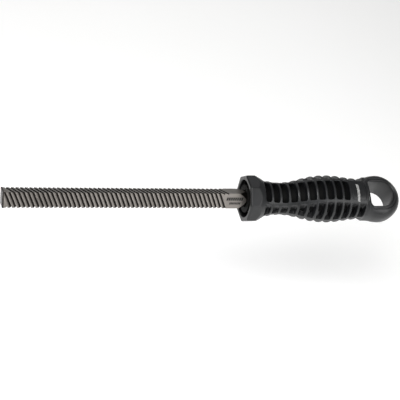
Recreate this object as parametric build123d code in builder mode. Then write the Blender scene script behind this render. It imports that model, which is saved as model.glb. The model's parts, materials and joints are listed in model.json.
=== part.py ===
"""Square file with coarse milled teeth and a ribbed plastic handle.

Frame: X runs along the tool, the origin is the centre of the collar's front rim,
the handle lies towards +X and the blade towards -X. The tool rests on one flat of
the octagonal collar, which faces -Z. Millimetres.
"""
import os
from math import cos, pi, radians, sin, sqrt, tan

from build123d import *

# Blade
BAR = 11.0  # side of the square bar
EXPOSED = 170.0  # from the collar's rim to the tip
BLADE_ROLL = 22.5  # angle of one bar face above the horizontal
TOOTH_PITCH = 3.1
TOOTH_DEPTH = 0.95
TOOTH_COUNT = 49
TOOTH_LAND = 0.15
TEETH_START = -168.6  # first tooth's edge, on the middle of a face
SKEW_TEETH = 1.5  # how many pitches one groove advances across a face
SHOULDER_X = -5.2  # the turned cone starts to cut the bar's corners here
TANG_ROOT_X = 1.6
TANG_ROOT_R = 4.8
TANG_FRONT = 6.0  # side of the square tang where it enters the socket
TANG_END = 3.6
TANG_START_X = 6.0
TANG_LENGTH = 48.0  # from the rim to the tang's end

# Collar
ACROSS_FLATS = 32.0
CONE_TOP_X = 8.2
CONE_TOP_R = 16.2
CONE_ANGLE = 27.0
RIM_CHAMFER = 0.6
RECESS_R = 13.2
RECESS_DEPTH = 9.0

# Handle core
BOSS_R = 9.9
BOSS_SET_BACK = 0.5
MOUTH_R = 6.2
MOUTH_DEPTH = 7.0
SOCKET_GAP = 0.08  # running clearance on each side of the tang
SKIN = 4.0  # from the ribs' tops down to the core
CORE_END_X = 89.0
SOCKET_END_GAP = 1.0

# Grip lattice
FIRST_RING_X = 11.3
BAYS = 12
RING_PITCH = 6.54
RING_WIDTH = 1.6
SPINE_PLACE = 8.35  # the straight ribs' distance from the plane of the hanging hole's axis
SPINE_WIDTH = 1.7
PARTING_HALF = 1.0  # half the width of the rib along the parting line
PANEL_BAYS = 2  # the rows on the hanging-hole axis end in a smooth panel
REACH = 24.0  # beyond the grip's widest place

# Hanging eye
EYE_ROLL = 67.5  # angle of the hanging hole's axis above the horizontal
EYE_X = 102.7
EYE_R = 17.35
EYE_HALF = 11.4
EYE_EDGE = 5.5  # fall of the eye's end, where its faces turn in
EYE_NECK_R = 14.5
EYE_OVERLAP = 5.0  # how far the eye's body reaches into the lattice
HOLE_X0 = 93.0
HOLE_HALF = 9.9
HOLE_ARC_X = 103.4

os.makedirs("parts", exist_ok=True)


def turned_plane(angle, x=0.0):
    """A plane holding the tool axis, whose normal stands at angle above the horizontal."""
    normal = (0, -cos(radians(angle)), sin(radians(angle)))
    return Plane(origin=(x, 0, 0), x_dir=(1, 0, 0), z_dir=normal)


RINGS = [FIRST_RING_X + RING_PITCH * n for n in range(BAYS + 1)]
GRIP_END_X = RINGS[-1]

# The grip's outline through the ring ribs, as radius at a place along the axis.
OUTLINE = [(11.3, 14.6), (14.5, 12.95), (18.0, 12.4), (24.5, 11.6), (31.0, 11.9), (37.5, 13.05),
           (44.0, 14.7), (50.5, 16.1), (57.0, 16.9), (63.5, 17.1), (70.0, 16.7), (76.5, 15.85),
           (83.0, 15.1), (GRIP_END_X, 14.9)]


# ---------------------------------------------------------------- blade
# One tooth gap: a long back, a flat-bottomed gullet, then a steep rake that faces the tip.
GULLET = [(TOOTH_LAND, 1.0), (TOOTH_LAND, 0.0), (1.75, -0.25), (2.5, -TOOTH_DEPTH),
          (2.85, -TOOTH_DEPTH), (TOOTH_PITCH, 0.0), (TOOTH_PITCH, 1.0)]

with BuildPart() as blade:
    with BuildSketch(Plane.YZ.offset(-EXPOSED)):
        Rectangle(BAR, BAR, rotation=-BLADE_ROLL)
    extrude(amount=EXPOSED + TANG_ROOT_X)
    with BuildSketch(Plane.XZ):
        with BuildLine():
            Polyline((-EXPOSED, 0), (-EXPOSED, BAR * 0.69), (-EXPOSED + 0.6, BAR),
                     (SHOULDER_X - 1.0, BAR), (SHOULDER_X, BAR / sqrt(2)),
                     (TANG_ROOT_X, TANG_ROOT_R), (TANG_ROOT_X, 0), close=True)
        make_face()
    revolve(axis=Axis.X, mode=Mode.INTERSECT)
    reach = BAR * 0.75
    skew = SKEW_TEETH * TOOTH_PITCH / BAR
    for side in range(4):
        face_plane = turned_plane(BLADE_ROLL + 90 * side)
        across = face_plane.y_dir
        up = face_plane.z_dir
        # Each side starts a little further on, so that the grooves meet at the edges.
        first = TEETH_START + (side % 2) * TOOTH_PITCH / 2
        base = Plane(origin=up * (BAR / 2) + across * reach, x_dir=(1, 0, 0), z_dir=across * -1)
        places = [(first - skew * reach + n * TOOTH_PITCH, 0) for n in range(TOOTH_COUNT)]
        with BuildSketch(base):
            with Locations(*places):
                Polygon(*GULLET, align=None)
        extrude(amount=2 * reach, dir=(skew, -across.Y, -across.Z), mode=Mode.SUBTRACT)
    # The square tang tapers, and wedges in the handle's socket.
    with BuildSketch(Plane.YZ.offset(TANG_ROOT_X)):
        Circle(TANG_ROOT_R)
    extrude(amount=TANG_START_X - TANG_ROOT_X)
    with BuildSketch(Plane.YZ.offset(TANG_START_X)):
        Rectangle(TANG_FRONT, TANG_FRONT, rotation=-BLADE_ROLL)
    with BuildSketch(Plane.YZ.offset(TANG_LENGTH)):
        Rectangle(TANG_END, TANG_END, rotation=-BLADE_ROLL)
    loft()


# ---------------------------------------------------------------- handle core
EYE_PLANE = turned_plane(EYE_ROLL)

with BuildPart() as handle_core:
    with BuildSketch(Plane.XZ):
        with BuildLine():
            floor = [(x, r - SKIN) for x, r in OUTLINE]
            Polyline((CORE_END_X, 0), (BOSS_SET_BACK, 0), (BOSS_SET_BACK, BOSS_R), floor[0])
            Spline(*floor)
            Polyline(floor[-1], (CORE_END_X, floor[-1][1]), (CORE_END_X, 0))
        make_face()
    revolve(axis=Axis.X)

core_envelope = handle_core.part

with handle_core:
    with BuildSketch(Plane.YZ):
        Circle(MOUTH_R)
    extrude(amount=MOUTH_DEPTH, mode=Mode.SUBTRACT)
    # The socket is the tang's own taper with a running gap.
    slope = (TANG_FRONT - TANG_END) / (TANG_LENGTH - TANG_START_X)
    with BuildSketch(Plane.YZ.offset(MOUTH_DEPTH)):
        side = TANG_FRONT + slope * (TANG_START_X - MOUTH_DEPTH) + 2 * SOCKET_GAP
        Rectangle(side, side, rotation=-BLADE_ROLL)
    with BuildSketch(Plane.YZ.offset(TANG_LENGTH + SOCKET_END_GAP)):
        side = TANG_END - slope * SOCKET_END_GAP + 2 * SOCKET_GAP
        Rectangle(side, side, rotation=-BLADE_ROLL)
    loft(mode=Mode.SUBTRACT)


# ---------------------------------------------------------------- grip
with BuildPart() as collar:
    with BuildSketch(Plane.YZ):
        RegularPolygon(ACROSS_FLATS / 2, 8, major_radius=False, rotation=22.5)
    extrude(amount=FIRST_RING_X)
    corner_r = ACROSS_FLATS / 2 / cos(pi / 8)
    fall = tan(radians(CONE_ANGLE))
    cone_start = CONE_TOP_X - (corner_r + 1 - CONE_TOP_R) / fall
    with BuildSketch(Plane.XZ):
        with BuildLine():
            Polyline((0, 0), (0, corner_r - RIM_CHAMFER), (RIM_CHAMFER + 1, corner_r + 1),
                     (cone_start, corner_r + 1),
                     (FIRST_RING_X, CONE_TOP_R - fall * (FIRST_RING_X - CONE_TOP_X)),
                     (FIRST_RING_X, 0), close=True)
        make_face()
    revolve(axis=Axis.X, mode=Mode.INTERSECT)

with BuildPart() as eye:
    with BuildSketch(Plane.XZ):
        with BuildLine():
            Line((GRIP_END_X - EYE_OVERLAP, 0), (GRIP_END_X - EYE_OVERLAP, EYE_NECK_R))
            Spline((GRIP_END_X - EYE_OVERLAP, EYE_NECK_R), (GRIP_END_X + 2, 15.3), (EYE_X - 5, 16.6),
                   (EYE_X, EYE_R), tangents=((1, 0), (1, 0)))
            ThreePointArc((EYE_X, EYE_R), (EYE_X + EYE_R * cos(pi / 4), EYE_R * sin(pi / 4)),
                          (EYE_X + EYE_R, 0))
            Line((EYE_X + EYE_R, 0), (GRIP_END_X - EYE_OVERLAP, 0))
        make_face()
    revolve(axis=Axis.X)
    # Seen along the parting line, the eye is thinner than the grip.
    with BuildSketch(turned_plane(EYE_ROLL - 90)):
        with BuildLine():
            x_end = EYE_X + EYE_R
            outline = [(GRIP_END_X - EYE_OVERLAP - 1, 17), (GRIP_END_X, 14.6),
                       (HOLE_X0 + 1.5, EYE_HALF), (x_end - EYE_EDGE, EYE_HALF), (x_end, EYE_EDGE)]
            mirrored = [(x, -t) for x, t in reversed(outline)]
            Polyline(*outline, *mirrored, close=True)
        make_face()
    extrude(amount=2 * EYE_R, both=True, mode=Mode.INTERSECT)

with BuildPart() as grip:
    add(collar.part)
    with BuildSketch(Plane.XZ):
        with BuildLine():
            Line((FIRST_RING_X, 0), OUTLINE[0])
            Spline(*OUTLINE)
            Polyline(OUTLINE[-1], (GRIP_END_X, 0), (FIRST_RING_X, 0))
        make_face()
    revolve(axis=Axis.X)
    add(eye.part)
    with BuildSketch(Plane.YZ):
        Circle(RECESS_R)
    extrude(amount=RECESS_DEPTH, mode=Mode.SUBTRACT)
    # Six rows of pockets, cut straight along the hanging hole's axis, down to the core or
    # to the rib on the parting line.
    length = RING_PITCH - RING_WIDTH
    middles = [(start + end) / 2 for start, end in zip(RINGS, RINGS[1:])]
    middle_width = 2 * SPINE_PLACE - SPINE_WIDTH
    side_start = SPINE_PLACE + SPINE_WIDTH / 2
    side_middle = (side_start + REACH) / 2
    for face in (1, -1):
        with BuildSketch(EYE_PLANE.offset(face * PARTING_HALF)):
            with Locations(*[(x, 0) for x in middles[:BAYS - PANEL_BAYS]]):
                Rectangle(length, middle_width)
            with Locations(*[(x, side * side_middle) for x in middles for side in (1, -1)]):
                Rectangle(length, REACH - side_start)
        extrude(amount=face * REACH, mode=Mode.SUBTRACT)
    # The hanging hole has one straight side towards the grip and a round end.
    with BuildSketch(EYE_PLANE):
        with BuildLine():
            Polyline((HOLE_ARC_X, HOLE_HALF), (HOLE_X0, HOLE_HALF), (HOLE_X0, -HOLE_HALF),
                     (HOLE_ARC_X, -HOLE_HALF))
            ThreePointArc((HOLE_ARC_X, -HOLE_HALF), (HOLE_ARC_X + HOLE_HALF, 0),
                          (HOLE_ARC_X, HOLE_HALF))
        make_face()
    extrude(amount=2 * EYE_HALF, both=True, mode=Mode.SUBTRACT)
    add(core_envelope, mode=Mode.SUBTRACT)


PARTS = {"blade": blade, "handle_core": handle_core, "grip": grip}

for name, built in PARTS.items():
    built.part.label = name
    export_step(built.part, f"parts/{name}.step")
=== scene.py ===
"""Looks of a milled-tooth file with a ribbed plastic handle, laid out as a Blender add-on.

X runs along the tool, the origin is the centre of the collar's front rim and the handle
lies towards +X. Lengths in the shape functions are in millimetres, and shape_grid() and
plates() turn them into metres.
"""
import json
from math import acos, asin, cos, hypot, pi, radians, sin, sqrt

import bpy
from mathutils import Matrix, Vector


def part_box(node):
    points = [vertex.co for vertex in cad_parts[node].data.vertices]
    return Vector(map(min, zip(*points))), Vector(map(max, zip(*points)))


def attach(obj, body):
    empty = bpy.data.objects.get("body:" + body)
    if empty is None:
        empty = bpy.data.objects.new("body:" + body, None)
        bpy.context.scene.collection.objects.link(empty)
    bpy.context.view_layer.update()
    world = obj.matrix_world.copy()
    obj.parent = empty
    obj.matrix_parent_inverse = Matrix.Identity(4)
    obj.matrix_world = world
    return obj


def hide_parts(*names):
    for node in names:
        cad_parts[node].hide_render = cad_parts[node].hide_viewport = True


bl_info = {
    "name": "Milled-Tooth File",
    "version": (1, 0, 0),
    "blender": (4, 5, 0),
    "location": "View3D > Sidebar > File Tool",
    "description": "Models and finishes a square file and its moulded handle",
    "category": "Object",
}

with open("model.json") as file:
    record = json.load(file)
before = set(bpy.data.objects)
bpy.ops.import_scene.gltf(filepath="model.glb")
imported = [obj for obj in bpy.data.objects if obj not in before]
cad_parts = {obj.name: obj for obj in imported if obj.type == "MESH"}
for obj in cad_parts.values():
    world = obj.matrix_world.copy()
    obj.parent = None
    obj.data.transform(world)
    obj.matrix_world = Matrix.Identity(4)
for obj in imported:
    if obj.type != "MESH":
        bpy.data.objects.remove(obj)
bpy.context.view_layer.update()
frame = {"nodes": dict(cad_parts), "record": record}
MM = 0.001

# Places taken from the frame, in millimetres.
HANDLE_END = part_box("grip")[1].x / MM
TIP_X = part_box("blade")[0].x / MM
MOUNTS = {mount["name"]: mount["pos_m"] for mount in frame["record"]["mounts"]}
ACROSS_FLATS = -2 * MOUNTS["collar_flat"][2] / MM

# Angles round the tool, above the horizontal on the -Y side.
EYE_ROLL = radians(67.5)
BLADE_ROLL = radians(22.5)

# The lattice of ribs. Its pockets are cut straight along the hanging hole's axis.
FIRST_RING_X = 11.3
BAYS = 12
RING_PITCH = 6.54
RINGS = [FIRST_RING_X + RING_PITCH * n for n in range(BAYS + 1)]
GRIP_END_X = RINGS[-1]
ROWS = 6
PANEL_BAYS = 2
SPINE_PLACE = 8.35  # the straight ribs' distance from the plane of the hanging hole's axis
SPINE_HALF = 0.85
PARTING_HALF = 1.0  # half the width of the rib along the parting line
RIB_HALF = 0.8
SKIN = 4.0  # from the ribs' tops down to the core
CORNER_BEVEL = 0.06  # how much is taken off the collar's corners
FLOOR_GAP = 0.15  # how far the pocket floors lie under the core's own surface
OUTLINE = [(11.3, 14.6), (14.5, 12.95), (18.0, 12.4), (24.5, 11.6), (31.0, 11.9), (37.5, 13.05),
           (44.0, 14.7), (50.5, 16.1), (57.0, 16.9), (63.5, 17.1), (70.0, 16.7), (76.5, 15.85),
           (83.0, 15.1), (GRIP_END_X, 14.9)]  # x and radius
BAR_HALF = 5.5  # half the blade's width
TIP_DARK_BAND = 1.2  # how far the darker band reaches back from the tip, in the colour of the gullets' painted shade
SHADE_RAMP = 0.3  # how far down a gullet its painted shade comes to full strength; the tip's band fades in over the same length
EYE_X = 102.7
EYE_R = HANDLE_END - EYE_X
EYE_HALF = 11.4
COLUMNS = 20  # mesh columns across one row of pockets
CELL_STEPS = 16  # mesh steps along one bay
CRISP_ANGLE = 32  # edges of the grip sharper than this stay crisp, in degrees


# ---------------------------------------------------------------- shape functions
def cubic(points, x):
    """A smooth curve through a few points: Catmull-Rom in each stretch."""
    if x <= points[0][0]:
        return points[0][1]
    if x >= points[-1][0]:
        return points[-1][1]
    k = max(i for i, p in enumerate(points[:-1]) if p[0] <= x)
    (x1, y1), (x2, y2) = points[k], points[k + 1]
    x0, y0 = points[k - 1] if k else (x1 - (x2 - x1), y1 + (y1 - y2))
    x3, y3 = points[k + 2] if k + 2 < len(points) else (x2 + (x2 - x1), y2)
    m1 = (y2 - y0) / (x2 - x0) * (x2 - x1)
    m2 = (y3 - y1) / (x3 - x1) * (x2 - x1)
    t = (x - x1) / (x2 - x1)
    return ((2 * t ** 3 - 3 * t ** 2 + 1) * y1 + (t ** 3 - 2 * t ** 2 + t) * m1
            + (3 * t ** 2 - 2 * t ** 3) * y2 + (t ** 3 - t ** 2) * m2)


def smoothstep(a, b, x):
    """0 before a, 1 after b, and smooth between."""
    t = min(max((x - a) / (b - a), 0.0), 1.0)
    return t * t * (3 - 2 * t)


def around(x, turn, r):
    """The point at a radius and a turn from the hanging hole's axis, in millimetres."""
    angle = EYE_ROLL + turn
    return (x, -r * cos(angle), r * sin(angle))


def octagon(turn):
    """The collar's radius at a turn: its corners stand on the hanging hole's axis."""
    part = (turn + pi / 8) % (pi / 4) - pi / 8
    corner = pi / 8 - abs(part)
    flat = ACROSS_FLATS / 2 / cos(corner)
    return min(flat, ACROSS_FLATS / 2 / cos(pi / 8) - CORNER_BEVEL)


def skin(x):
    """The grip's outer radius through its ribs."""
    return cubic(OUTLINE, x)


NECK_R = 14.9  # the grip's radius where the eye begins
THIN_X = 97.0  # the eye has its full flatness from here on
EYE_OUTLINE = [(80.0, 15.4), (86.0, NECK_R), (GRIP_END_X, NECK_R), (95.0, 15.9), (98.5, 16.85),
               (EYE_X, EYE_R)]
HALVINGS = 30  # enough for the radius to settle
EDGE_SHARE = 0.98  # the eye's height is measured no nearer to its edge than this
EYE_POWER = 2.7  # how full the eye's cross-section is: 2 is an ellipse


def eye_round(x):
    """The eye's outline seen along the hanging hole."""
    if x < EYE_X:
        return cubic(EYE_OUTLINE, x)
    return sqrt(max(EYE_R ** 2 - (x - EYE_X) ** 2, 0.0))


def eye_thin(x):
    """Half the eye's thickness at its middle."""
    thin = EYE_HALF + (NECK_R - EYE_HALF) * (1 - smoothstep(GRIP_END_X - 1.0, THIN_X, x))
    share = max(x - EYE_X, 0.0) / EYE_R
    return thin * max(1 - share ** EYE_POWER, 0.0) ** (1 / EYE_POWER)


def eye_radius(x, turn):
    """The eye's outer radius: a puck with a full, round edge."""
    if x > HANDLE_END - 0.001:
        return 0.0
    beyond = max(x - EYE_X, 0.0)
    low, high = 0.0, EYE_R + 1
    for _ in range(HALVINGS):
        r = (low + high) / 2
        if x < EYE_X:
            away = abs(r * sin(turn)) / eye_round(x)
        else:
            away = hypot(beyond, r * sin(turn)) / EYE_R
        height = abs(r * cos(turn)) / (eye_thin(x) if x < EYE_X else EYE_HALF)
        if away ** EYE_POWER + height ** EYE_POWER < 1:
            low = r
        else:
            high = r
    return low


def eye_height(x, across):
    """How high the eye's skin stands over its middle plane."""
    if x < EYE_X:
        away, thin = abs(across) / eye_round(x), eye_thin(x)
    else:
        away, thin = hypot(x - EYE_X, across) / EYE_R, EYE_HALF
    return thin * (1 - min(away, EDGE_SHARE) ** EYE_POWER) ** (1 / EYE_POWER)


# ---------------------------------------------------------------- mesh helpers
DEGENERATE = 0.001  # edges shorter than this are dissolved
DOUBLES = 0.01  # vertices nearer than this are merged
SHELL_DOUBLES = 0.02


def deselect():
    """Leave edit mode with nothing selected."""
    if bpy.context.object and bpy.context.object.mode != "OBJECT":
        bpy.ops.object.mode_set(mode="OBJECT")
    bpy.ops.object.select_all(action="DESELECT")


def activate(obj):
    """Select one object alone and make it active."""
    deselect()
    obj.select_set(True)
    bpy.context.view_layer.objects.active = obj


def sheet_of_quads(name, across, along):
    """A grid primitive of quads, whose vertices are then put in place by a function."""
    deselect()
    bpy.ops.mesh.primitive_grid_add(x_subdivisions=along, y_subdivisions=across, size=2)
    obj = bpy.context.object
    obj.name = name
    return obj


def shape_grid(obj, across, along, place):
    """Move each grid vertex to place(i, j), i along the tool and j round it."""
    for v in obj.data.vertices:
        i = round((v.co.x + 1) / 2 * along)
        j = round((v.co.y + 1) / 2 * across)
        v.co = Vector(place(i, j)) * MM


def join(objs, name):
    """Join pieces into one mesh, as they are."""
    activate(objs[0])
    for obj in objs:
        obj.select_set(True)
    bpy.ops.object.join()
    obj = bpy.context.object
    obj.name = name
    obj.data.name = name
    return obj


def merge(obj, doubles=DOUBLES):
    """Merge the vertices that meet and turn the faces outwards."""
    activate(obj)
    bpy.ops.object.mode_set(mode="EDIT")
    bpy.ops.mesh.select_all(action="SELECT")
    bpy.ops.mesh.remove_doubles(threshold=doubles * MM)
    bpy.ops.mesh.dissolve_degenerate(threshold=DEGENERATE * MM)
    bpy.ops.mesh.normals_make_consistent(inside=False)
    bpy.ops.object.mode_set(mode="OBJECT")


def apply_modifier(obj, kind, **settings):
    """Add a modifier with its settings and apply it at once."""
    activate(obj)
    mod = obj.modifiers.new(kind.title(), kind)
    for key, value in settings.items():
        setattr(mod, key, value)
    bpy.ops.object.modifier_apply(modifier=mod.name)


def cut_away(obj, cutter):
    """Cut one closed mesh with another, which is then removed."""
    apply_modifier(obj, "BOOLEAN", operation="DIFFERENCE", solver="EXACT", use_self=True,
                   object=cutter)
    bpy.data.objects.remove(cutter)


def smooth(obj, degrees):
    """Smooth shading, with edges sharper than the angle kept crisp."""
    activate(obj)
    bpy.ops.object.shade_smooth_by_angle(angle=radians(degrees))


def finish_piece(obj, body, material, slot, *nodes):
    """Give a piece its material, its body and the CAD nodes that it stands for."""
    obj.data.materials.clear()
    obj.data.materials.append(material)
    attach(obj, body)
    if nodes:
        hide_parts(*nodes)


# ---------------------------------------------------------------- the grip's lattice
# Loops of one pocket from its rim to its floor: inset past the rib's edge, depth, and
# corner radius.
POCKET_DEPTH = 14.0  # more than any pocket needs to reach its floor
POCKET_LOOPS = ((-0.50, 0.0, 1.5), (-0.20, 0.05, 1.4), (0.0, 0.26, 1.3), (0.10, 0.8, 1.2),
                (0.24, POCKET_DEPTH, 1.1), (0.8, POCKET_DEPTH, 0.8), (1.4, POCKET_DEPTH, 0.6))
CENTRE_SHRINK = 0.8  # how far the loops inside the last one close in
PANEL_LOOPS = ((0.0, 0.0, 1.4), (0.16, 0.28, 1.3), (0.50, 0.30, 1.2), (0.72, 0.06, 1.1),
               (1.2, 0.05, 0.9), (1.8, 0.03, 0.6), (2.6, 0.02, 0.4))


def rounded(x, y, half_x, half_y, radius):
    """A point of a sharp rectangle's outline, moved on to its rounded corner."""
    radius = min(radius, half_x, half_y)
    qx = abs(x) - (half_x - radius)
    qy = abs(y) - (half_y - radius)
    if qx > 0 and qy > 0:
        length = hypot(qx, qy)
        x = (half_x - radius + qx / length * radius) * (1 if x > 0 else -1)
        y = (half_y - radius + qy / length * radius) * (1 if y > 0 else -1)
    return x, y


def row_limits(x, row):
    """The turns between which a row lies at a place: its spines stand in flat planes."""
    spine = asin(SPINE_PLACE / skin(min(max(x, FIRST_RING_X), GRIP_END_X)))
    starts = (-spine, spine, pi / 2, pi - spine, pi + spine, 3 * pi / 2, 2 * pi - spine)
    return starts[row], starts[row + 1]


def pocket_limits(x, row):
    """The turns between which a row's pockets lie, inside its spines."""
    r = skin(x)
    spine = asin((SPINE_PLACE - SPINE_HALF) / r)
    beyond = asin((SPINE_PLACE + SPINE_HALF) / r)
    parting = acos(PARTING_HALF / r)
    starts = (-spine, beyond, pi - parting, pi - spine, pi + beyond, 2 * pi - parting)
    ends = (spine, parting, pi - beyond, pi + spine, pi + parting, 2 * pi - beyond)
    return starts[row], ends[row]


def sunk(x, turn, depth):
    """A point of the skin, moved straight down a pocket, no deeper than its floor."""
    r = skin(x)
    across, height = r * sin(turn), r * cos(turn)
    under = r - SKIN - FLOOR_GAP
    floor = max(sqrt(max(under ** 2 - across ** 2, 0.0)), PARTING_HALF)
    side = 1 if height > 0 else -1
    height = side * max(abs(height) - depth, min(floor, abs(height)))
    return eye_point(x, across, height)


def cell(name, start, end, row, loops, along):
    """One cell of the lattice between two rings: a pocket with a soft rim, or a panel."""
    obj = sheet_of_quads(name, COLUMNS, along)
    middle = (RINGS[start] + RINGS[end]) / 2
    half_x = (RINGS[end] - RINGS[start]) / 2 - RIB_HALF
    first, last = pocket_limits(middle, row)
    half_y = (last - first) / 2 * skin(middle)

    def place(i, j):
        loop = min(i, along - i, j, COLUMNS - j)
        if loop == 0:
            x = RINGS[start] + (RINGS[end] - RINGS[start]) * i / along
            low, high = row_limits(x, row)
            return around(x, low + (high - low) * j / COLUMNS, skin(x))
        inset, depth, radius = loops[min(loop, len(loops)) - 1]
        hx = half_x - inset
        hy = half_y - inset
        u = (2 * (i - loop) / (along - 2 * loop) - 1) if along > 2 * loop else 0.0
        v = (2 * (j - loop) / (COLUMNS - 2 * loop) - 1) if COLUMNS > 2 * loop else 0.0
        if loop > len(loops):
            spread = 1 - CENTRE_SHRINK * (loop - len(loops)) / max(along / 2 - len(loops), 1)
            hx, hy = hx * spread, hy * spread
        x, y = rounded(u * hx, v * hy, hx, hy, radius)
        low, high = pocket_limits(middle + x, row)
        turn = (low + high) / 2 + y / half_y * (high - low) / 2
        return sunk(middle + x, turn, depth)

    shape_grid(obj, COLUMNS, along, place)
    return obj


CORNER_DRAW = 0.9  # how strongly the collar's mesh columns are drawn to its corners


def column_turn(j, x, sharpen):
    """The turn of a mesh column; sharpen draws columns towards the collar's corners."""
    row, step = divmod(j, COLUMNS)
    if row == ROWS:
        row, step = ROWS - 1, COLUMNS
    low, high = row_limits(x, row)
    turn = low + (high - low) * step / COLUMNS
    even = -pi / ROWS + 2 * pi * j / (ROWS * COLUMNS)
    part = (even + pi / 8) % (pi / 4) - pi / 8
    near = part * (abs(part) / (pi / 8)) ** CORNER_DRAW
    return turn + (even + near - part - turn) * sharpen


def band(name, path):
    """A closed band round the tool: path gives, for each step, x, radius and sharpening."""
    total = ROWS * COLUMNS
    obj = sheet_of_quads(name, total, len(path) - 1)

    def place(i, j):
        x, radius, sharpen = path[i]
        turn = column_turn(j, x, sharpen)
        return around(x, turn, radius(turn) if callable(radius) else radius)

    shape_grid(obj, total, len(path) - 1, place)
    return obj


BORE = 6.0  # radius of the hollow inside the moulding, which the core hides
BORE_END_X = 88.0
RECESS_R = 13.2
RECESS_DEPTH = 9.0
FLATS_END_X = 5.4  # the cone cuts the collar's corners from here on
CONE_TOP_X = 8.2
CONE_TOP_R = 16.2
FADE_X = (8.8, 11.0)  # between these the mesh columns leave the collar's corners
CONE_STEPS = 16
EYE_STEPS = 60


def collar_path():
    """From the bore, through the recess and over the rim, down the cone to the lattice."""
    def flats(inset):
        return lambda turn: octagon(turn) - inset

    def coned(x):
        fall = (CONE_TOP_R - skin(FIRST_RING_X)) / (FIRST_RING_X - CONE_TOP_X)
        limit = CONE_TOP_R - fall * (x - CONE_TOP_X)
        return lambda turn: min(octagon(turn), limit)

    path = [(RECESS_DEPTH, BORE, 1.0), (RECESS_DEPTH, 10.5, 1.0),
            (RECESS_DEPTH, RECESS_R - 0.5, 1.0), (RECESS_DEPTH - 0.15, RECESS_R - 0.15, 1.0),
            (RECESS_DEPTH - 0.5, RECESS_R, 1.0), (5.0, RECESS_R, 1.0),
            (1.0, RECESS_R + 0.02, 1.0), (0.45, RECESS_R + 0.08, 1.0),
            (0.12, RECESS_R + 0.3, 1.0), (0.0, RECESS_R + 0.65, 1.0), (0.0, 14.6, 1.0),
            (0.0, flats(1.0), 1.0), (0.08, flats(0.72), 1.0), (0.55, flats(0.16), 1.0),
            (0.85, flats(0.03), 1.0), (1.3, flats(0.0), 1.0), (3.0, flats(0.0), 1.0),
            (4.6, flats(0.0), 1.0)]
    for k in range(CONE_STEPS + 1):
        x = FLATS_END_X + (FIRST_RING_X - FLATS_END_X) * k / CONE_STEPS
        path.append((x, coned(x), 1.0 - smoothstep(*FADE_X, x)))
    return path


def eye_path():
    """From the last ring over the eye to the tool's end."""
    def shell(x):
        def radius(turn):
            blend = smoothstep(GRIP_END_X, GRIP_END_X + 1.5, x)
            return skin(GRIP_END_X) * (1 - blend) + eye_radius(x, turn) * blend
        return radius

    path = []
    for k in range(EYE_STEPS + 1):
        # Steps shorten towards the end, where the surface turns in.
        s = sin(pi / 2 * k / EYE_STEPS)
        x = GRIP_END_X + (HANDLE_END - GRIP_END_X) * s
        path.append((x, shell(x), 0.0))
    path[-1] = (HANDLE_END, 0.0, 0.0)
    return path


def bore_path():
    """The hollow inside of the moulding, from its closed end to the recess."""
    return [(BORE_END_X, 0.0, 1.0), (BORE_END_X, BORE * 0.5, 1.0), (BORE_END_X, BORE, 1.0),
            (48.0, BORE, 1.0), (RECESS_DEPTH, BORE, 1.0)]


# ---------------------------------------------------------------- the hanging eye
HOLE_X0 = 93.0
HOLE_HALF = 9.9
HOLE_ARC_X = 103.4
HOLE_CORNER = 3.2
HOLE_COLUMNS = 96
# The cutter's flare at a mouth: height over the skin, and how much wider the hole is there.
LIP_LEVELS = ((-1.3, 0.0), (-0.7, 0.06), (-0.36, 0.22), (-0.14, 0.5), (-0.02, 0.9), (0.5, 1.3),
              (3.0, 1.35))
RIM_PLACE = 0.3  # the flare follows the skin's height at this distance from the hole
GROOVE_OFFSET = 2.3  # from the hole's edge to the middle of the rim's groove
GROOVE_R = 0.55
GROOVE_SIDES = 10


def hole_point(j, offset):
    """A point on the hanging hole's outline: one straight side, two corners, a round end."""
    angle = 2 * pi * j / HOLE_COLUMNS
    half = HOLE_HALF + offset
    if abs(cos(angle)) < 1e-9 or cos(angle) > 0:
        return HOLE_ARC_X + half * cos(angle), half * sin(angle)
    depth = HOLE_ARC_X - HOLE_X0 + offset
    reach = min(depth / -cos(angle), half / max(abs(sin(angle)), 1e-9))
    x, y = rounded(reach * cos(angle), reach * sin(angle), depth, half, HOLE_CORNER + offset)
    return HOLE_ARC_X + x, y


def eye_point(x, across, height):
    """A point given by its place along the tool, across it and along the hanging hole."""
    return (x, across * sin(EYE_ROLL) - height * cos(EYE_ROLL),
            across * cos(EYE_ROLL) + height * sin(EYE_ROLL))


def close_ends(obj):
    """Fill the open ends of a tube of quads."""
    merge(obj)
    bpy.ops.object.mode_set(mode="EDIT")
    bpy.ops.mesh.select_all(action="DESELECT")
    bpy.ops.mesh.select_non_manifold()
    bpy.ops.mesh.edge_face_add()
    bpy.ops.mesh.select_all(action="SELECT")
    bpy.ops.mesh.normals_make_consistent(inside=False)
    bpy.ops.object.mode_set(mode="OBJECT")


def hole_cutter():
    """The hanging hole as a solid, flared at both mouths so that the rim comes out soft."""
    levels = [(1, d, o) for d, o in reversed(LIP_LEVELS)] + [(-1, d, o) for d, o in LIP_LEVELS]
    obj = sheet_of_quads("hole_cutter", HOLE_COLUMNS, len(levels) - 1)

    def place(i, j):
        side, level, offset = levels[i]
        x0, y0 = hole_point(j, RIM_PLACE)
        x, y = hole_point(j, offset)
        return eye_point(x, y, side * (eye_height(x0, y0) + level))

    shape_grid(obj, HOLE_COLUMNS, len(levels) - 1, place)
    close_ends(obj)
    return obj


def rim_groove(side):
    """The fine groove that makes the hole's rim a double bead."""
    obj = sheet_of_quads("rim_groove", HOLE_COLUMNS, GROOVE_SIDES)

    def place(i, j):
        turn = 2 * pi * i / GROOVE_SIDES
        x, y = hole_point(j, GROOVE_OFFSET + GROOVE_R * cos(turn))
        x0, y0 = hole_point(j, GROOVE_OFFSET)
        return eye_point(x, y, side * eye_height(x0, y0) + GROOVE_R * sin(turn))

    shape_grid(obj, HOLE_COLUMNS, GROOVE_SIDES, place)
    merge(obj)
    return obj


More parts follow.
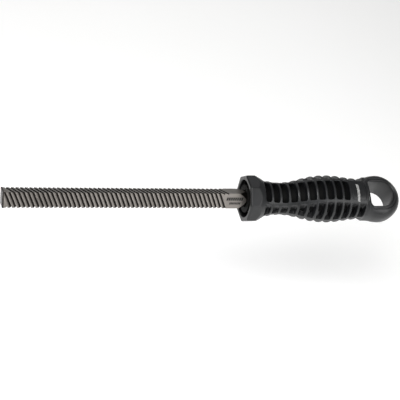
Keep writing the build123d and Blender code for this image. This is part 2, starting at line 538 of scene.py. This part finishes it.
def build_grip():
    """The whole outer moulding: collar, lattice, panels and eye, in one closed mesh."""
    pieces = [band("collar", collar_path()), band("eye", eye_path()), band("bore", bore_path())]
    for row in range(ROWS):
        bays = BAYS - PANEL_BAYS if row % 3 == 0 else BAYS
        for bay in range(bays):
            pieces.append(cell(f"pocket_{row}_{bay}", bay, bay + 1, row, POCKET_LOOPS, CELL_STEPS))
        if bays < BAYS:
            steps = CELL_STEPS * PANEL_BAYS
            pieces.append(cell(f"panel_{row}", bays, BAYS, row, PANEL_LOOPS, steps))
    # Neighbours share a ring, so both sides of a boundary have the same vertices.
    obj = join(pieces, "grip_shell")
    merge(obj, SHELL_DOUBLES)
    cut_away(obj, join([hole_cutter(), rim_groove(1), rim_groove(-1)], "eye_cutter"))
    smooth(obj, CRISP_ANGLE)
    return obj


# ---------------------------------------------------------------- marks
def plates(name, outlines, place, thickness):
    """Thin raised shapes: each outline is a polygon on a flat sheet, wrapped by place()."""
    made = []
    for outline in outlines:
        deselect()
        bpy.ops.mesh.primitive_circle_add(vertices=len(outline), radius=1, fill_type="NGON")
        obj = bpy.context.object
        for v, (a, b) in zip(obj.data.vertices, outline):
            v.co = Vector(place(a, b)) * MM
        made.append(obj)
    obj = join(made, name)
    apply_modifier(obj, "SOLIDIFY", thickness=thickness * MM, offset=0.0)
    bpy.ops.object.mode_set(mode="EDIT")
    bpy.ops.mesh.select_all(action="SELECT")
    bpy.ops.mesh.normals_make_consistent(inside=False)
    bpy.ops.object.mode_set(mode="OBJECT")
    return obj


def slanted_row(count, start, base, width, gap, height, slant):
    """A row of plain slanted blocks."""
    row = []
    for n in range(count):
        a = start + n * (width + gap)
        row.append([(a, base), (a + width, base), (a + width + slant, base + height),
                    (a + slant, base + height)])
    return row


ETCH_LIFT = 0.004  # keeps the etched mark's surface clear of the steel's
PRINT_SINK = 0.02  # how far the printed mark's middle lies under the panel's skin
PRINT_R = 14.3  # radius that turns a length round the panel into an angle
ETCH_THICK = 0.02
PRINT_THICK = 0.12
# Each row: count, start, base, width, gap, height and slant of its blocks.
SHANK_ROWS = ((8, -14.7, 0.3, 1.25, 0.3, 2.3, 0.6), (8, -12.4, -2.6, 0.78, 0.26, 1.6, 0.4))
PANEL_ROW = (14, 0, 0, 0.42, 0.5, 1.9, 0.5)
PANEL_MARK = (81.7, 4.7)  # where the printed row starts: along the tool and round it


def build_shank_mark():
    """The etched mark on the shank, as plain slanted blocks over a row of small ones."""
    def place(a, b):
        out = BAR_HALF + ETCH_LIFT
        return (a, -out * cos(BLADE_ROLL) + b * sin(BLADE_ROLL),
                out * sin(BLADE_ROLL) + b * cos(BLADE_ROLL))

    blocks = [block for row in SHANK_ROWS for block in slanted_row(*row)]
    return plates("shank_mark", blocks, place, ETCH_THICK)


def build_panel_mark():
    """The printed mark on the handle's panel, as a row of fine white strokes."""
    def place(a, b):
        return around(a, b / PRINT_R, skin(a) - PRINT_SINK)

    x, top = PANEL_MARK
    turned = [[(x + q, top - p) for p, q in block] for block in slanted_row(*PANEL_ROW)]
    return plates("panel_mark", turned, place, PRINT_THICK)


# ---------------------------------------------------------------- materials
def linear(hex_colour):
    """An sRGB hex colour as linear RGBA."""
    channels = [int(hex_colour[i:i + 2], 16) / 255 for i in (1, 3, 5)]
    return [c / 12.92 if c <= 0.04045 else ((c + 0.055) / 1.055) ** 2.4 for c in channels] + [1.0]


def add_node(tree, kind, settings=None, **inputs):
    """Add a node with its settings; an input is a value, or a socket to link from.

    An input is named with underscores for its spaces, or as n and its number.
    """
    node = tree.nodes.new(kind)
    for key, value in (settings or {}).items():
        setattr(node, key, value)
    for key, value in inputs.items():
        name = key.replace("_", " ")
        numbered = key[0] == "n" and key[1:].isdigit()
        socket = node.inputs[int(key[1:]) if numbered else name]
        if isinstance(value, bpy.types.NodeSocket):
            tree.links.new(value, socket)
        else:
            socket.default_value = value
    return node


def new_material(name):
    """An empty material with its output, and the piece's own coordinates."""
    mat = bpy.data.materials.new(name)
    mat.use_nodes = True
    mat.node_tree.nodes.clear()
    tree = mat.node_tree
    out = add_node(tree, "ShaderNodeOutputMaterial")
    coords = add_node(tree, "ShaderNodeTexCoord")
    return mat, tree, out, coords.outputs["Object"]


def ramp(tree, fac, *stops):
    """A colour ramp from places and hex colours."""
    node = add_node(tree, "ShaderNodeValToRGB", Fac=fac)
    elements = node.color_ramp.elements
    while len(elements) < len(stops):
        elements.new(0.5)
    for element, (place, colour) in zip(elements, stops):
        element.position = place
        element.color = linear(colour)
    return node.outputs["Color"]


GRAIN = 0.35  # width of the plastic's eroded grain
GRAIN_HEIGHT = 0.02
CLOUD = 18  # width of its slow changes of tone


def moulded_plastic(name, dark, light, rough, sheen):
    """Injection-moulded polypropylene from a spark-eroded mould: satin, with a fine grain."""
    mat, tree, out, place = new_material(name)
    grain = add_node(tree, "ShaderNodeTexNoise", Vector=place, Scale=1 / (GRAIN * MM), Detail=3.0)
    cloud = add_node(tree, "ShaderNodeTexNoise", Vector=place, Scale=1 / (CLOUD * MM), Detail=2.0)
    colour = ramp(tree, cloud.outputs["Fac"], (0.35, dark), (0.65, light))
    gloss = add_node(tree, "ShaderNodeMapRange", Value=grain.outputs["Fac"], To_Min=rough - 0.06,
                     To_Max=rough + 0.08)
    bump = add_node(tree, "ShaderNodeBump", Height=grain.outputs["Fac"], Strength=0.5,
                    Distance=GRAIN_HEIGHT * MM)
    shader = add_node(tree, "ShaderNodeBsdfPrincipled", Base_Color=colour,
                      Roughness=gloss.outputs["Result"], Normal=bump.outputs["Normal"], IOR=1.49,
                      Specular_IOR_Level=sheen)
    tree.links.new(shader.outputs["BSDF"], out.inputs["Surface"])
    return mat


SCRATCH = 0.22  # width of the grinding lines across the bar
SCRATCH_LENGTH = 6
SCRATCH_HEIGHT = 0.02
STEEL_CLOUD = 9  # width of the steel's slow changes of tone


def milled_steel(name, dark, light, scale, rough):
    """Hardened tool steel: ground lands, with painted shade darkening the gullets and a darker band
    at the tip.
    """
    mat, tree, out, place = new_material(name)
    # The bar's section is square to these turned coordinates.
    turned = add_node(tree, "ShaderNodeMapping", Vector=place, Rotation=(BLADE_ROLL, 0, 0))
    parts = add_node(tree, "ShaderNodeSeparateXYZ", Vector=turned.outputs["Vector"])
    y = add_node(tree, "ShaderNodeMath", {"operation": "ABSOLUTE"}, n0=parts.outputs["Y"])
    z = add_node(tree, "ShaderNodeMath", {"operation": "ABSOLUTE"}, n0=parts.outputs["Z"])
    far = add_node(tree, "ShaderNodeMath", {"operation": "MAXIMUM"}, n0=y.outputs[0],
                   n1=z.outputs[0])
    # Painted shade: the deeper a point lies under the bar's faces, the darker it is painted, so the
    # gullets look shaded.
    depth = add_node(tree, "ShaderNodeMapRange", Value=far.outputs[0], From_Min=BAR_HALF * MM,
                     From_Max=(BAR_HALF - SHADE_RAMP) * MM)
    end = add_node(tree, "ShaderNodeMapRange", Value=parts.outputs["X"],
                   From_Min=(TIP_X + TIP_DARK_BAND) * MM,
                   From_Max=(TIP_X + TIP_DARK_BAND - SHADE_RAMP) * MM)
    shade_mask = add_node(tree, "ShaderNodeMath", {"operation": "MAXIMUM"},
                    n0=depth.outputs["Result"], n1=end.outputs["Result"])
    fine = add_node(tree, "ShaderNodeMapping", Vector=turned.outputs["Vector"],
                    Scale=(1 / (SCRATCH * MM), 1 / (SCRATCH_LENGTH * MM),
                           1 / (SCRATCH_LENGTH * MM)))
    scratch = add_node(tree, "ShaderNodeTexNoise", Vector=fine.outputs["Vector"], Scale=1.0,
                       Detail=4.0)
    cloud = add_node(tree, "ShaderNodeTexNoise", Vector=place, Scale=1 / (STEEL_CLOUD * MM),
                     Detail=3.0)
    ground = ramp(tree, cloud.outputs["Fac"], (0.3, dark), (0.7, light))
    # Inputs 0, 6 and 7 of a colour mix are its factor and its two colours.
    colour = add_node(tree, "ShaderNodeMix", {"data_type": "RGBA"}, n0=shade_mask.outputs[0],
                      n6=ground, n7=linear(scale))
    gloss = add_node(tree, "ShaderNodeMapRange", Value=scratch.outputs["Fac"],
                     To_Min=rough - 0.07, To_Max=rough + 0.1)
    bump = add_node(tree, "ShaderNodeBump", Height=scratch.outputs["Fac"], Strength=0.35,
                    Distance=SCRATCH_HEIGHT * MM)
    shader = add_node(tree, "ShaderNodeBsdfPrincipled", Base_Color=colour.outputs[2],
                      Metallic=1.0, Roughness=gloss.outputs["Result"],
                      Normal=bump.outputs["Normal"])
    tree.links.new(shader.outputs["BSDF"], out.inputs["Surface"])
    return mat


INK_SPECK = 0.3  # width of the ink's unevenness


def flat_ink(name, colour, rough):
    """Pad-printed or etched ink: matt, with a slightly uneven edge to its gloss."""
    mat, tree, out, place = new_material(name)
    speck = add_node(tree, "ShaderNodeTexNoise", Vector=place, Scale=1 / (INK_SPECK * MM),
                     Detail=2.0)
    gloss = add_node(tree, "ShaderNodeMapRange", Value=speck.outputs["Fac"], To_Min=rough - 0.1,
                     To_Max=rough + 0.1)
    shader = add_node(tree, "ShaderNodeBsdfPrincipled", Base_Color=linear(colour),
                      Roughness=gloss.outputs["Result"])
    tree.links.new(shader.outputs["BSDF"], out.inputs["Surface"])
    return mat


# ---------------------------------------------------------------- settings
class FileToolSettings(bpy.types.PropertyGroup):
    """What a user would change on the tool's finish."""

    grip_colour: bpy.props.StringProperty(
        name="Grip", description="Lightest tone of the outer moulding, sRGB hex", default="#141517")
    steel_colour: bpy.props.StringProperty(
        name="Steel", description="Lightest tone of the steel, sRGB hex", default="#98938e")
    floor_size: bpy.props.FloatProperty(
        name="Floor", description="Width of the floor", default=6.0, min=1.0, unit="LENGTH")


class FileToolOperator:
    """What the operators share."""

    bl_options = {"REGISTER", "UNDO"}

    @property
    def settings(self):
        """The scene's settings for this tool."""
        return bpy.context.scene.file_tool


class OBJECT_OT_file_grip(FileToolOperator, bpy.types.Operator):
    """Model the outer moulding of the handle"""

    bl_idname = "object.file_grip"
    bl_label = "Grip"

    def execute(self, context):
        plastic = moulded_plastic("satin_polypropylene", "#101112", self.settings.grip_colour,
                                  rough=0.35, sheen=0.5)
        finish_piece(build_grip(), "handle", plastic, "grip_plastic", "grip")
        return {"FINISHED"}


class OBJECT_OT_file_core(FileToolOperator, bpy.types.Operator):
    """Finish the inner moulding of the handle: near black and dull, as painted shade on the pocket
    floors
    """

    bl_idname = "object.file_core"
    bl_label = "Core"

    def execute(self, context):
        # Painted shade: the core's plastic is made near black with little sheen, so the pocket
        # floors, which are its surface, look deeply shaded.
        plastic = moulded_plastic("core_painted_shade_plastic", "#040404", "#070707", rough=0.7,
                                  sheen=0.12)
        for slot in frame["nodes"]["handle_core"].material_slots:
            slot.material = plastic
        return {"FINISHED"}


class OBJECT_OT_file_blade(FileToolOperator, bpy.types.Operator):
    """Finish the toothed bar"""

    bl_idname = "object.file_blade"
    bl_label = "Blade"

    def execute(self, context):
        # The darker colour is painted shade for the gullets, and it also colours the band at the
        # tip.
        steel = milled_steel("milled_tool_steel", "#86817c", self.settings.steel_colour,
                             scale="#403d3a", rough=0.40)
        for slot in frame["nodes"]["blade"].material_slots:
            slot.material = steel
        return {"FINISHED"}


class OBJECT_OT_file_marks(FileToolOperator, bpy.types.Operator):
    """Add the etched and printed marks"""

    bl_idname = "object.file_marks"
    bl_label = "Marks"

    def execute(self, context):
        etched = flat_ink("etched_black", "#0d0c0c", 0.7)
        printed = flat_ink("printed_white", "#c4c4c2", 0.5)
        finish_piece(build_shank_mark(), "blade", etched, "blade_steel")
        finish_piece(build_panel_mark(), "handle", printed, "grip_plastic")
        return {"FINISHED"}


# The stage, in metres.
FLOOR_DROP = 0.09  # keeps the tool's shadow off the ground that is seen through the eye
TIP_LOW = 7.19 * MM  # how far the tip reaches below the tool's axis
SKY_NEAR = 0.42  # the studio's strength on the camera's side of the tool
SKY_FAR = 0.10  # and behind it
LAMPS = (("key", (-0.35, -0.35, 0.75), 0.5, 8.0), ("fill", (0.5, -0.7, 0.35), 0.6, 3.0),
         ("back", (0.1, 0.7, 0.5), 0.7, 0.8))  # name, place, size and power
SENSOR_WIDTH = 36.0
CAMERA_ELEVATION = radians(42.0)
CAMERA_YAW = radians(17.15)
CAMERA_DISTANCE = 0.749
FRAME_WIDTH = 0.280  # what the frame's width covers at the camera's distance
AIM_X = -0.0323
AIM_DROP = 0.0012
CAMERA_ROLL = 0.0040


class OBJECT_OT_file_stage(FileToolOperator, bpy.types.Operator):
    """Set the floor, the lights and the camera"""

    bl_idname = "object.file_stage"
    bl_label = "Stage"

    def execute(self, context):
        # The floor is parallel to the tool as it lies on its collar and on the blade's tip.
        deselect()
        bpy.ops.mesh.primitive_plane_add(size=self.settings.floor_size)
        ground = context.object
        ground.name = "floor"
        collar_low = ACROSS_FLATS / 2 * MM
        rise = (collar_low - TIP_LOW) / (-TIP_X * MM)
        for v in ground.data.vertices:
            v.co.z = -collar_low - FLOOR_DROP - rise * v.co.x
        mat, tree, out, place = new_material("pale_floor")
        cloud = add_node(tree, "ShaderNodeTexNoise", Vector=place, Scale=3.0, Detail=2.0)
        colour = ramp(tree, cloud.outputs["Fac"], (0.4, "#f4f4f3"), (0.6, "#f6f6f6"))
        shader = add_node(tree, "ShaderNodeBsdfPrincipled", Base_Color=colour, Roughness=0.9,
                          Emission_Color=(1, 1, 1, 1), Emission_Strength=0.2)
        tree.links.new(shader.outputs["BSDF"], out.inputs["Surface"])
        ground.data.materials.append(mat)
        self.light(context)
        self.camera(context)
        context.scene.view_settings.view_transform = "Standard"
        return {"FINISHED"}

    def light(self, context):
        """A soft studio: a world that is dim at the back, and three area lamps."""
        world = bpy.data.worlds.new("studio")
        world.use_nodes = True
        world.node_tree.nodes["Background"].inputs["Color"].default_value = (1, 1, 1, 1)
        # The studio is dim behind the tool, so the faces turned away from the camera stay dark.
        sky = world.node_tree
        place = add_node(sky, "ShaderNodeTexCoord").outputs["Generated"]
        parts = add_node(sky, "ShaderNodeSeparateXYZ", Vector=place)
        glow = add_node(sky, "ShaderNodeMapRange", Value=parts.outputs["Y"], From_Min=-0.2,
                        From_Max=0.75, To_Min=SKY_NEAR, To_Max=SKY_FAR)
        sky.links.new(glow.outputs["Result"], sky.nodes["Background"].inputs["Strength"])
        context.scene.world = world
        for name, spot, size, power in LAMPS:
            data = bpy.data.lights.new(name, "AREA")
            data.energy = power
            data.size = size
            lamp = bpy.data.objects.new(name, data)
            lamp.location = spot
            lamp.rotation_euler = (-Vector(spot)).to_track_quat("-Z", "Y").to_euler()
            context.scene.collection.objects.link(lamp)

    def camera(self, context):
        """The camera looks down on the tool from the blade's side."""
        out = Vector((0, -cos(CAMERA_ELEVATION), sin(CAMERA_ELEVATION)))
        up = Vector((0, sin(CAMERA_ELEVATION), cos(CAMERA_ELEVATION)))
        along = Vector((1, 0, 0))
        back = out * cos(CAMERA_YAW) - along * sin(CAMERA_YAW)
        right = up.cross(back)
        aim = Vector((AIM_X, 0, 0)) - up * AIM_DROP
        right, up = (right * cos(CAMERA_ROLL) + up * sin(CAMERA_ROLL),
                     up * cos(CAMERA_ROLL) - right * sin(CAMERA_ROLL))
        data = bpy.data.cameras.new("camera")
        data.sensor_width = SENSOR_WIDTH
        data.lens = SENSOR_WIDTH * CAMERA_DISTANCE / FRAME_WIDTH
        data.clip_start = 0.01
        cam = bpy.data.objects.new("camera", data)
        turn = Matrix((right, up, back)).transposed().to_4x4()
        cam.matrix_world = Matrix.Translation(aim + back * CAMERA_DISTANCE) @ turn
        context.scene.collection.objects.link(cam)
        context.scene.camera = cam


OPERATORS = (OBJECT_OT_file_grip, OBJECT_OT_file_core, OBJECT_OT_file_blade,
             OBJECT_OT_file_marks, OBJECT_OT_file_stage)


class VIEW3D_PT_file_tool(bpy.types.Panel):
    """Lists the tool's pieces and settings"""

    bl_idname = "VIEW3D_PT_file_tool"
    bl_label = "File Tool"
    bl_space_type = "VIEW_3D"
    bl_region_type = "UI"
    bl_category = "File Tool"

    def draw(self, context):
        """The settings, then a button for each operator."""
        for name in ("grip_colour", "steel_colour", "floor_size"):
            self.layout.prop(context.scene.file_tool, name)
        for operator in OPERATORS:
            self.layout.operator(operator.bl_idname)


def register():
    for cls in (FileToolSettings, *OPERATORS, VIEW3D_PT_file_tool):
        bpy.utils.register_class(cls)
    bpy.types.Scene.file_tool = bpy.props.PointerProperty(type=FileToolSettings)


def unregister():
    del bpy.types.Scene.file_tool
    for cls in reversed((FileToolSettings, *OPERATORS, VIEW3D_PT_file_tool)):
        bpy.utils.unregister_class(cls)


def main():
    """Make every piece and the stage."""
    register()
    bpy.ops.object.file_grip()
    bpy.ops.object.file_core()
    bpy.ops.object.file_blade()
    bpy.ops.object.file_marks()
    bpy.ops.object.file_stage()


if __name__ == "__main__":
    main()
